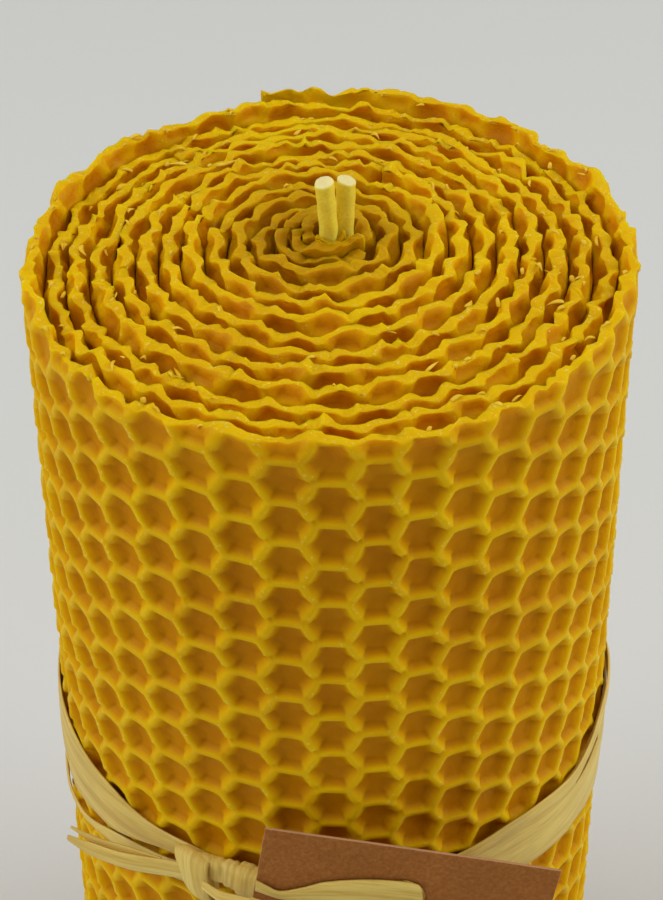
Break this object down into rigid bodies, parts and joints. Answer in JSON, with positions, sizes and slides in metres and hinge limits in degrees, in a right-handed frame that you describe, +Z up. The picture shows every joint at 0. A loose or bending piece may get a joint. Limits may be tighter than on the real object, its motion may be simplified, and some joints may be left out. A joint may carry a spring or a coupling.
{
  "type": "rolled beeswax candle",
  "caption": "Pillar candle rolled from embossed beeswax sheet, with cotton wicks, a raffia tie round its middle and a blank kraft tag on a raffia loop.",
  "frame": {"origin": "the roll's axis where the base of the outer wax strip stands on the table", "axes": "+Z up along the roll, -Y the front where the tag hangs, +X to the right seen from the front"},
  "size_m": [0.0674, 0.0733, 0.1449],
  "materials": {
    "beeswax": "satin",
    "wick": "satin",
    "raffia": "satin",
    "kraft_card": "matte"
  },
  "bodies": {
    "candle": {"wax_strip_1": "beeswax", "wax_strip_2": "beeswax", "wax_strip_3": "beeswax", "wax_strip_4": "beeswax", "wax_strip_5": "beeswax", "wick_left": "wick", "wick_right": "wick"},
    "tie": {"raffia_wide_band": "raffia", "raffia_narrow_band": "raffia", "raffia_knot": "raffia", "raffia_tail_left": "raffia"},
    "tag_loop": {"raffia_tag_loop": "raffia", "raffia_tail_low": "raffia"},
    "tag": {"tag": "kraft_card"}
  },
  "joints": [
    {"name": "tie_slide", "type": "slide", "parent": "candle", "child": "tie", "axis": [0, 0, 1], "range_m": [-0.02, 0.085]},
    {"name": "tag_lift", "type": "hinge", "parent": "tie", "child": "tag_loop", "pos_m": [-0.0092, -0.0356, 0.0765], "axis": [0, 0, -1], "range_deg": [0, 35]},
    {"name": "tag_swing", "type": "hinge", "parent": "tag_loop", "child": "tag", "pos_m": [0.0075, -0.03667, 0.07607], "axis": [-0.0697, -0.997, 0.0349], "range_deg": [-8, 50]}
  ]
}
